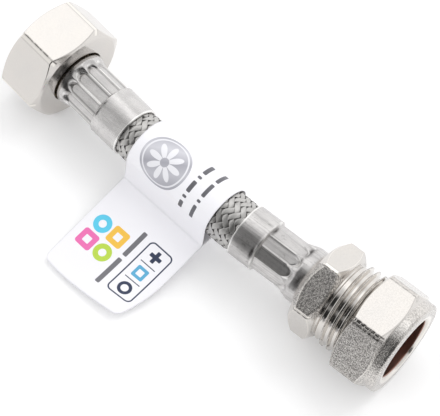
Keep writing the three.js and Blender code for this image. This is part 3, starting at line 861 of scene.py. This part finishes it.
tube_near = build_tube_half("tube_compression_half", -7.9, HALF_WAY)
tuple(NEAR_BEND[0])
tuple(NEAR_BEND[1])
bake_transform(tube_near)
tube_far = build_tube_half("tube_tap_half", HALF_WAY, HOSE_FREE + 7.9)
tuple(FAR_BEND[0])
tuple(FAR_BEND[1])
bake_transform(tube_far)

# %% [markdown]
# ## The film label
#
# One strip of film starts at the flag's end, goes over the hose and under it, and comes back along
# itself, where the two layers stick together. It is a path seen from the hose's end, carried across
# the label's width and given a thickness. The UV map holds both lengths, so the print bends with it.

# %% The film's path in the plane across the hose
FILM, WRAP_RADIUS, LEAVE = 0.16, 6.62, radians(82)
LABEL_START, LABEL_WIDTH = 2.75, 25.1
PINCH, PINCH_HEIGHT, REACH, END_HEIGHT = 7.2, -6.7, 33.7, -10.6
FLAG_ROWS, BEND_ROWS, WRAP_ROWS = 60, 22, 120
WRAP = slice(FLAG_ROWS + BEND_ROWS, FLAG_ROWS + BEND_ROWS + WRAP_ROWS)


def flag_height(side):
    """The flag's middle: it starts at the pinch and droops as the first quarter of a sine."""
    share = np.clip((side - PINCH) / (REACH - PINCH), 0, 1)
    return PINCH_HEIGHT + (END_HEIGHT - PINCH_HEIGHT) * np.sin(share * math.pi / 2)


def film_path():
    """Upper layer inwards, an eased curve up to the wrap, the wrap's arc, and the lower layer outwards."""
    sides = np.linspace(REACH, PINCH, FLAG_ROWS)
    gap = FILM * 0.62
    upper = np.column_stack([sides, flag_height(sides) + gap])
    top = WRAP_RADIUS * np.array([math.sin(LEAVE), math.cos(LEAVE)])
    t = np.linspace(0, 1, BEND_ROWS + 2)[1:-1, None]
    bend = np.array([top[0] + 0.35, PINCH_HEIGHT + 1.0])
    down = (1 - t) ** 2 * upper[-1] + 2 * t * (1 - t) * bend + t**2 * top
    turns = np.linspace(LEAVE, -math.pi, WRAP_ROWS)
    wrap = WRAP_RADIUS * np.column_stack([np.sin(turns), np.cos(turns)])
    lower = np.column_stack([sides[::-1], flag_height(sides[::-1]) - gap])
    tangent = wrap[-1] + (lower[0] - wrap[-1]) * t[::3]
    return np.vstack([upper, down, wrap, tangent, lower])


UV_SIZE, BACK = 100, 0.5
path = film_path()
step = np.linalg.norm(np.diff(path, axis=0), axis=1)
run_length = np.concatenate([[0], np.cumsum(step)])
direction = np.gradient(path, axis=0)
direction /= np.linalg.norm(direction, axis=1, keepdims=True)
outwards = np.column_stack([direction[:, 1], -direction[:, 0]])
print("Film length in mm:", run_length[-1].round(2))


# %% Build the label
def build_label():
    """Points of both faces; w runs across the width and share out along the flag.

    The flag's end is cut a little askew, and its corners are rounded off. It ripples across its width.
    """
    w = np.linspace(1, 0, 64)
    share = np.clip((path[:, 0] - PINCH) / (REACH - PINCH), 0, 1)[:, None]
    low = LABEL_START + 2.1 * fade(share, 0.45, 1.15) ** 1.2
    along = low + (LABEL_START + LABEL_WIDTH - 0.6 * share**3 - low) * w
    shorter = 1.7 * (1 - w) ** 2.2 * share**2 + 0.5 * w**6 * share**4
    corner = np.clip(1 - w / 0.07, 0, 1) ** 2 + np.clip((w - 0.95) / 0.05, 0, 1) ** 2
    side = path[:, :1] - shorter - 1.3 * share**10 * corner
    ripple = 0.25 * np.sin(w * 5.5 + 0.6) * share**1.5
    height = path[:, 1:] + ripple + 0.7 * (1 - w) ** 3 * share**3
    faces = []
    for sign in (1, -1):
        y = side + sign * FILM / 2 * outwards[:, :1]
        z = height + sign * FILM / 2 * outwards[:, 1:]
        faces.append(hose_middle.origin + along[..., None] * hose_middle.axis
                     - y[..., None] * hose_middle.side + z[..., None] * UP)
    points = np.concatenate([faces[0], faces[1][:, ::-1]], axis=1)
    length = np.repeat(run_length[:, None], len(w), axis=1)
    uv = np.stack([along / UV_SIZE, length / UV_SIZE], axis=-1)
    back = np.stack([BACK + along / UV_SIZE, length / UV_SIZE], axis=-1)[:, ::-1]
    quads = np.vstack([grid_quads(len(path), 2 * len(w), False), end_quads(len(path), 2 * len(w))])
    return mesh_object("label_film", points, quads, uv=np.concatenate([uv, back], axis=1))


label = build_label()

# %% [markdown]
# ## The label's print
#
# The film is white with a faint lilac cast, and its print is a generic design. The wrap has a silver
# disc with a rosette and two rows of dark dashes. The flag has four coloured rings and squares, two
# grey bars and a framed row of three signs. Each shape is a distance worked out from the two UV
# lengths in millimetres. The back of the film has UVs beyond the print, so it stays plain.

# %% The print as distances
def wrap_length(angle):
    """Length along the film where the wrap is at this angle from straight up."""
    turn = np.unwrap(np.arctan2(path[WRAP, 0], path[WRAP, 1]))
    return float(np.interp(-angle, -turn, run_length[WRAP]))


def flag_length(side):
    """Length along the film where the flag's upper layer is this far from the hose's axis."""
    return float(np.interp(-side, -path[:FLAG_ROWS, 0], run_length[:FLAG_ROWS]))


def sign_shapes(s):
    """Shapes that are 1 inside and 0 outside, for the film's two lengths in mm, and a mask for its front."""
    u, v, _ = s.parts(s.node("ShaderNodeUVMap", {"uv_map": "UVMap"}))
    along, length = u * UV_SIZE, v * UV_SIZE
    front = 1 - along.between(45, 46)

    def box(x, y, half_x, half_y, corner=0.4, soft=0.05):
        """A rounded box: max(|x| - half, 0) and the same for y, taken as one length."""
        dx = (abs(along - x) - (half_x - corner)).larger(0)
        dy = (abs(length - y) - (half_y - corner)).larger(0)
        return 1 - ((dx * dx + dy * dy) ** 0.5).between(corner - soft, corner + soft)

    def disc(x, y, radius, soft=0.05):
        dx, dy = along - x, length - y
        return 1 - ((dx * dx + dy * dy) ** 0.5).between(radius - soft, radius + soft)

    return along, length, front, box, disc


def union(shapes):
    """1 inside any of the shapes."""
    whole = shapes[0]
    for shape in shapes[1:]:
        whole = whole.larger(shape)
    return whole


def film_finish():
    """White film with the print: places and sizes are in mm, across the label and along the film."""
    s = new_finish("label_print")
    along, length, front, box, disc = sign_shapes(s)
    cloud = s.noise(45, 2)
    colour = s.mix(cloud, (0.955, 0.95, 0.985), (0.93, 0.925, 0.97))
    white, ink, grey = (0.93, 0.93, 0.97), (0.035, 0.035, 0.05), (0.06, 0.06, 0.075)
    navy, blue = (0.012, 0.025, 0.075), (0.10, 0.42, 0.68)

    cx, cy = 19.39, wrap_length(radians(27))
    # Painted sheen: light and dark bands across the silver disc, from a ramp along a slant.
    gloss = ((along - cx) * 0.5 + (length - cy) * 0.8 + 6.0) / 12.0
    silver = s.node("ShaderNodeValToRGB", {"stops": [
        (0.0, (0.36, 0.36, 0.41)), (0.3, (0.55, 0.55, 0.60)), (0.5, (0.40, 0.40, 0.45)),
        (0.75, (0.66, 0.66, 0.71)), (1.0, (0.45, 0.45, 0.50))]}, {0: gloss})
    colour = s.mix(disc(cx, cy, 6.3) * front, colour, silver)
    angle = (length - cy).maths("ARCTAN2", along - cx)
    away = ((along - cx) ** 2 + (length - cy) ** 2) ** 0.5
    petal = (abs((angle * 4).maths("COSINE")) ** 0.7 * 4.6 - away).between(-0.05, 0.25)
    colour = s.mix(petal * disc(cx, cy, 4.6) * (1 - disc(cx, cy, 1.1)) * front * 0.85, colour, white)
    rim = (disc(cx, cy, 5.75) - disc(cx, cy, 5.35)) * front
    colour = s.mix(rim * 0.8, colour, white)

    rows = (
        (10.9, 0.55, [(80, 62), (54, 48), (40, 14), (6, 0), (-8, -40)]),
        (7.4, 0.5, [(84, 50), (42, 36), (28, -4), (-12, -50)]))
    dashes = []
    for x, half, spans in rows:
        for span in spans:
            a, b = (wrap_length(radians(degrees)) for degrees in span)
            dashes.append(box(x, (a + b) / 2, half, abs(b - a) / 2, 0.3))
    colour = s.mix(union(dashes) * front * 0.9, colour, ink)

    upper, lower = flag_length(18.4), flag_length(23.4)
    shapes = [
        (disc(23.4, upper, 2.25), disc(23.4, upper, 0.95), (0.10, 0.62, 0.86)),
        (box(18.5, upper, 2.2, 2.2, 0.7), box(18.5, upper, 0.9, 0.9, 0.2), (0.93, 0.55, 0.06)),
        (box(23.4, lower, 2.2, 2.2, 0.7), box(23.4, lower, 0.9, 0.9, 0.2), (0.86, 0.16, 0.46)),
        (disc(18.5, lower, 2.25), disc(18.5, lower, 0.95), (0.50, 0.70, 0.06)),
    ]
    for shape, _, paint in shapes:
        colour = s.mix(shape * front, colour, paint)
    colour = s.mix(union([hole for _, hole, _ in shapes]) * front, colour, white)

    bars = [box(14.35, flag_length(side), 0.6, half, 0.3) for side, half in ((17.0, 3.7), (25.6, 4.0))]
    colour = s.mix(union(bars) * front * 0.88, colour, grey)
    x, middle = 8.6, flag_length(21.3)
    signs = [
        box(x, middle, 3.5, 7.9, 1.3) - box(x, middle, 3.15, 7.55, 1.0),
        box(x, middle - 2.6, 2.2, 0.12, 0.05), box(x, middle + 2.6, 2.2, 0.12, 0.05),
        disc(x, middle - 5.2, 1.75) - disc(x, middle - 5.2, 0.95),
        box(x, middle + 5.2, 1.6, 0.5, 0.2), box(x, middle + 5.2, 0.5, 1.6, 0.2)]
    colour = s.mix(union(signs) * front, colour, navy)
    square = box(x, middle, 1.6, 1.6, 0.4) - box(x, middle, 0.8, 0.8, 0.2)
    colour = s.mix(square * front, colour, blue)

    normal = s.bump(s.noise(170, 3, 0.5) + s.noise(35, 1) * 2.0, 0.00006)
    return s.finish(colour, 0.30 + cloud * 0.1, normal, {"Coat Weight": 0.25, "Coat Roughness": 0.12})


dressed(label, film_finish(), "hose", "label_film", "label")

# %% [markdown]
# ## The compression body
#
# The body is one turned and milled piece: a barbed stem inside the hose, a hexagon, and a threaded
# spigot with the pipe's socket inside. The thread is cut here as a true helix, because a helix seen
# from the side gives the light and dark bands that a row of rings doesn't.

# %% Build the body
HEX_START, HEX_END, THREAD_START, SPIGOT_END = 20.1, 26.7, 27.2, 37.6
BODY_TURN, BODY_SPANNER, BODY_BEVEL, BODY_REACH = radians(31.4), 21.2, 0.22, 11.93
SOCKET_RADIUS, SOCKET_STOP, NECK = 7.62, 26.0, 9.15


def build_body():
    envelope = chamfered(HEX_START, HEX_END, (9.9, 0.85), (10.1, 0.8), 12.5)
    corners = STEM + [(17.3, 3.0), (17.3, 4.7), (HEX_START, 4.7)] + envelope + [
        (HEX_END, NECK), (THREAD_START, NECK), (THREAD_START + 0.15, THREAD_ROOT),
        (SPIGOT_END - 0.1, THREAD_ROOT), (SPIGOT_END, THREAD_ROOT - 0.15), (SPIGOT_END, 8.8),
        (35.55, SOCKET_RADIUS), (SOCKET_STOP, SOCKET_RADIUS), (SOCKET_STOP, 6.4), (23.6, WATER), (1.5, WATER)]
    rows = filled(softened(corners, 0.1), 0.17)
    inner = (rows[:, 1] < 9.0) | (rows[:, 0] < HEX_START - 0.01)
    borders = (np.roll(inner, 1) ^ inner) | (np.roll(inner, -1) ^ inner)
    rows = rows[~inner | borders | (np.arange(len(rows)) % 6 == 0)]
    angle = hexagon_angles(56, BODY_TURN, 0.6)[None, :]
    station, radius = rows[:, :1], rows[:, 1:]
    six = hexagon_radius(angle, BODY_SPANNER, BODY_TURN, BODY_BEVEL)
    hexed = (station < HEX_END + 0.01) & (station > HEX_START - 0.01) & (radius > 9.4)
    cut, rim = soft_min(radius, six, 0.04)
    shape = np.where(hexed, cut, radius)
    threaded = (radius > THREAD_ROOT - 0.01) & (station > THREAD_START)
    lead = fade(station, THREAD_START, THREAD_START + 1.3)
    lead = lead * (1 - 0.75 * fade(station, SPIGOT_END - 1.0, SPIGOT_END))
    thread = radius + THREAD_DEPTH * thread_height(station - THREAD_START, angle) * lead
    shape = np.minimum(np.where(threaded & ~hexed, thread, shape), BODY_REACH)
    # Painted dark reflection on one border of each arris, and a painted highlight on the rim and the arris
    # strip.
    line, strip = arris_marks(angle, BODY_TURN, BODY_BEVEL, (1,))
    on_side = hexed & (radius > 11.2)
    socket = ~hexed & (radius < 8.5) & (station > SOCKET_STOP + 0.5)
    # On the thread: a painted dark reflection along the crest and painted highlights on the lines beside it.
    crest, beside = crest_marks(station - THREAD_START, angle)
    screwed = threaded & ~hexed & (station < SPIGOT_END - 0.6)
    hex_edge, thread_edge = np.maximum(rim, strip * on_side * 0.9), np.where(screwed, beside * lead * 0.8, 0)
    # Grain strength flat by flat, heavy on the upper front flat and light on the upper back one, is painted
    # shade.
    grain_and_painted_shade = by_side(angle, BODY_TURN, (1.0, 0.12, 0.5, 0.5, 0.4, 0.05))
    values = {
        "edge": np.where(hexed, hex_edge, thread_edge),
        "line": np.where(on_side, line, np.where(screwed, crest * lead * 0.75, 0)),
        "grain": np.where(hexed, grain_and_painted_shade, 0),
        "bare": np.where(socket, 1.0, 0)}
    return grid_piece("compression_body_plated", compression_end, station, shape, angle, values,
                      blasted_nickel, "compression_end", "nickel_plate", "compression_body")


build_body()

# %% [markdown]
# ## The olive
#
# The olive is a copper ring with a cone at each end. The nut presses it onto the pipe. Its brown
# film is what gives the socket's mouth its dark, warm colour.

# %% Build the olive
olive_profile = [(36.47, 7.8), (38.67, 8.75), (40.07, 8.75), (42.27, 7.8), (42.27, 7.62), (36.47, 7.62)]
turned_piece("olive_ring", compression_end, olive_profile, 128, 0.8, 0.08,
             brown_copper, "olive", "olive_copper", "olive")

# %% [markdown]
# ## The compression nut
#
# The nut is a hexagon with a round collar in front. Its arrises are rough where the blasting nibbled
# them, so the broken edge's depth changes along the nut with a few sine waves that never line up.

# %% Build the compression nut
NUT_START, NUT_HEX_END, NUT_END, NUT_THREAD_END = 33.52, 42.82, 45.42, 40.42
NUT_BEVEL, NUT_ROOT, NUT_MOUTH, COLLAR, COLLAR_ROUND = 0.33, 10.8, 7.75, 11.75, 0.8


def build_compression_nut():
    envelope = chamfered(NUT_START, NUT_HEX_END, (11.5, 0.5), (11.7, 0.7), NUT_REACH)
    bend = np.linspace(0, math.pi / 2, 7)
    arc = COLLAR_ROUND * np.column_stack([np.sin(bend) - 1, np.cos(bend) - 1])
    collar = np.array([NUT_END, COLLAR]) + arc
    bore = [(NUT_END, 8.45), (NUT_END - 0.7, NUT_MOUTH), (42.62, NUT_MOUTH), (42.62, 9.2),
            (NUT_THREAD_END, 9.2), (NUT_THREAD_END, NUT_ROOT), (NUT_START + 0.5, NUT_ROOT), (NUT_START, 11.1)]
    corners = envelope[:-1] + [(NUT_HEX_END, 11.72)] + [tuple(p) for p in collar] + bore
    rows = filled(softened(corners, 0.1), 0.17)
    angle = hexagon_angles(52, 0.0, 0.75)[None, :]
    station, radius = rows[:, :1], rows[:, 1:]
    nibble = sum(a * np.sin(station * f + p + 2.1 * np.round(angle / (math.pi / 3)))
                 for a, f, p in ((0.035, 5.1, 0.4), (0.03, 11.3, 1.9), (0.02, 23.7, 4.2)))
    six = hexagon_radius(angle, SPANNER, 0.0, NUT_BEVEL + nibble, 0.04)
    hexed = (radius > 11.45) & (station < NUT_HEX_END + 0.05)
    cut, rim = soft_min(radius, six, 0.04)
    shape = np.where(hexed, cut, radius)
    threaded = (np.abs(radius - NUT_ROOT) < 0.02) & (station > NUT_START + 0.5) & (station < 40.4)
    cut = 1 - thread_height(station - THREAD_START, angle)
    lead = fade(station, NUT_START + 0.4, NUT_START + 1.4)
    shape = np.where(threaded, NUT_ROOT - 0.95 * cut * lead, shape)
    # Painted dark reflections along the arrises, full at one corner and weaker at the others; a painted
    # highlight on the rim.
    line, strip = arris_marks(angle, 0.0, NUT_BEVEL)
    line = np.minimum(line + 0.24 * strip, 1) * by_side(angle, CORNER, (1.0, 0.4, 0.4, 0.4, 0.4, 0.4))
    # Grain strength flat by flat, light on top and heavy on the upper front flat, and on the collar towards
    # the front, is painted shade.
    sides = by_side(angle, 0.0, (0.1, 1.0, 0.8, 0.6, 0.6, 0.2))
    round_collar = 0.50 + 0.40 * near(angle - radians(62), 0.42)
    grain_and_painted_shade = np.where(station < NUT_HEX_END, sides, round_collar)
    # A painted highlight round the mouth's rim.
    mouth = near(station - NUT_END, 0.35) * (radius < 9.2) * (radius > 7.9)
    values = {
        "edge": np.clip(np.where(hexed, rim, 0) + mouth, 0, 1),
        "line": np.where(hexed & (radius > 12.4), line, 0),
        "grain": np.where(radius > 9.5, grain_and_painted_shade, 0.15), "bare": np.where(radius < 7.9, 1.0, 0)}
    return grid_piece("compression_nut_plated", compression_end, station, shape, angle, values,
                      blasted_nickel, "compression_nut", "nickel_plate", "compression_nut")


build_compression_nut()

# %% [markdown]
# ## Floor, light and camera
#
# Polished metal is only as good as what it mirrors. So the world looks different to mirrored rays
# than to all others: bright behind and to the left, with a brighter window above, and dark in front
# apart from one pale stripe. That puts the white faces and dark bands into the metal. All other rays
# meet an even white, and one soft lamp from behind casts the shadow.

# %% The floor
def build_floor():
    """A white square of 3 m; in mirrored rays it is dark near the front of the connector."""
    half = 1500.0
    corners = np.array([[-half, -half, 0], [half, -half, 0], [half, half, 0], [-half, half, 0]])
    floor = mesh_object("floor", corners, np.array([[0, 1, 2, 3]]), smooth=False)
    s = new_finish("floor_white")
    seen, mirrored = s.ray("Camera"), s.ray("Glossy")
    x, y, _ = s.parts(s.place())
    dim = x.between(-0.07, 0.0) * (1 - y.between(-0.12, -0.05)) * mirrored
    colour = s.mix(seen, (0.88, 0.88, 0.885), (0.97, 0.97, 0.975))
    colour = s.mix(dim, colour, (0.30, 0.30, 0.305))
    lit = s.node("ShaderNodeBsdfPrincipled", {}, {"Base Color": colour, "Roughness": 0.8})
    glow = s.node("ShaderNodeEmission", {}, {"Strength": seen * 0.13 + mirrored * (1 - dim) * 0.16})
    both = s.node("ShaderNodeAddShader", {}, {0: lit, 1: glow})
    s.node("ShaderNodeOutputMaterial", {}, {"Surface": both})
    floor.data.materials.append(s.owner)


build_floor()


# %% The world and the lamp
EVEN_LEVEL = 0.94


def build_world():
    """Levels by tilt, which is a ray's angle from straight up towards the front, in degrees."""
    world = bpy.data.worlds.new("studio")
    bpy.context.scene.world = world
    s = Shader(world)
    x, y, z = s.parts(s.node("ShaderNodeTexCoord", output="Generated"))
    tilt = (0 - y).maths("ARCTAN2", z) * (180 / math.pi)
    behind, left = 1 - tilt.between(2, 24), 1 - x.between(-0.42, -0.33)
    stripe = tilt.between(46, 55) * (1 - tilt.between(58, 67))
    front = 0.02 + stripe * 0.26
    window = tilt.between(-52, -30) * (1 - tilt.between(-18, 0)) * (1 - x.between(0.0, 0.25))
    bright = 0.80 + y.between(0.6, 0.95) * 0.4 + window * 0.62 + left * 0.12
    mirrored_level = front + (bright - front) * behind.larger(left * 0.95)
    level = (EVEN_LEVEL + (mirrored_level - EVEN_LEVEL) * s.ray("Glossy")).larger(s.ray("Camera"))
    background = s.node("ShaderNodeBackground", {}, {"Color": (1.0, 1.0, 1.0), "Strength": level})
    s.node("ShaderNodeOutputWorld", {}, {"Surface": background})


def softbox(name, place, size, level, target=(0.0, 0.005, 0.012)):
    """A square lamp whose face shines at this level, turned towards the connector."""
    lamp = bpy.data.lights.new(name, "AREA")
    lamp.shape, lamp.size = "SQUARE", size
    lamp.energy = level * math.pi * size**2
    made = placed(name, lamp)
    aim = np.array(target) - np.array(place)
    made.location = place
    made.visible_glossy = False
    lean = math.acos(-aim[2] / np.linalg.norm(aim))
    made.rotation_euler = [lean, 0, math.atan2(aim[0], -aim[1]) + math.pi]


build_world()
softbox("key_softbox", (0.12, 0.42, 0.60), 0.40, 2.3)

# %% [markdown]
# The camera stands about half a metre away with a long lens, looking down on the connector from the
# side where the pipe goes in. Its three directions are written as the rows of a turn.

# %% The camera
def build_camera():
    rows = np.array([[0.77284, 0.63231, 0.05381], [-0.58039, 0.67000, 0.46287], [0.25663, -0.38896, 0.88479]])
    place = np.array([128.243, -182.485, 440.872]) * MM
    data = bpy.data.cameras.new("camera")
    data.lens, data.sensor_width = 175.474, 36
    data.clip_start, data.clip_end = 0.05, 20
    made = placed("camera", data)
    matrix = np.eye(4)
    matrix[:3, :3], matrix[:3, 3] = rows.T, place
    made.matrix_world = Matrix(matrix.tolist())
    bpy.context.scene.camera = made


build_camera()
bpy.context.scene.view_settings.view_transform = "Standard"
